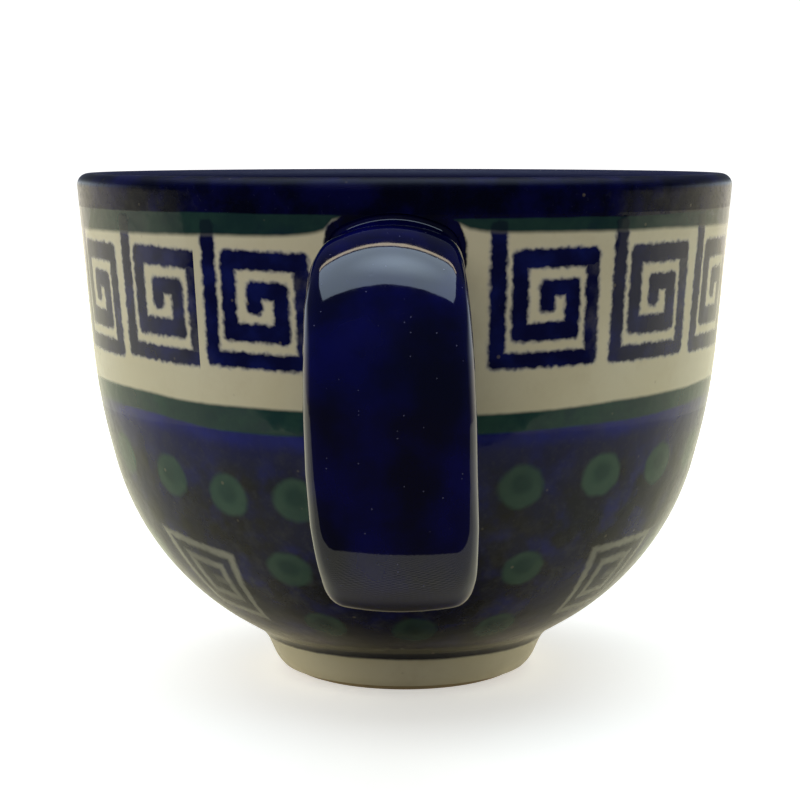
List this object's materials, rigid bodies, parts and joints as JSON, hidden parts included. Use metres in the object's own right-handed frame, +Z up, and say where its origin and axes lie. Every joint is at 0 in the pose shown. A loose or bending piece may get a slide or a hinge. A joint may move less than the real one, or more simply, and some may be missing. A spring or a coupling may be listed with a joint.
{
  "type": "polish stoneware mug",
  "caption": "Stoneware cup with a rounded bowl, narrow foot and wide strap handle, hand-stamped in cobalt and green under clear glaze.",
  "frame": {"origin": "centre of the foot ring, on the plane that the mug stands on", "axes": "+Z up along the mug's axis; the handle points to -Y; X runs across the handle"},
  "size_m": [0.1154, 0.1465, 0.0895],
  "materials": {
    "bare_stoneware": "matt",
    "clay_slip": "matt",
    "cobalt_glaze": "gloss",
    "green_glaze": "gloss",
    "cream_glaze": "gloss",
    "sponged_blue_glaze": "gloss"
  },
  "bodies": {
    "root": {"stoneware_body": "bare_stoneware", "handle_strap": "bare_stoneware", "upper_handle_joint": "clay_slip", "lower_handle_joint": "clay_slip", "cobalt_rim_band": "cobalt_glaze", "upper_green_band": "green_glaze", "key_band_glaze": "cream_glaze", "lower_green_band": "green_glaze", "dotted_field_glaze": "sponged_blue_glaze", "foot_glaze": "cream_glaze", "inner_glaze": "cream_glaze", "base_glaze": "cream_glaze", "handle_glaze": "cobalt_glaze"}
  },
  "joints": []
}
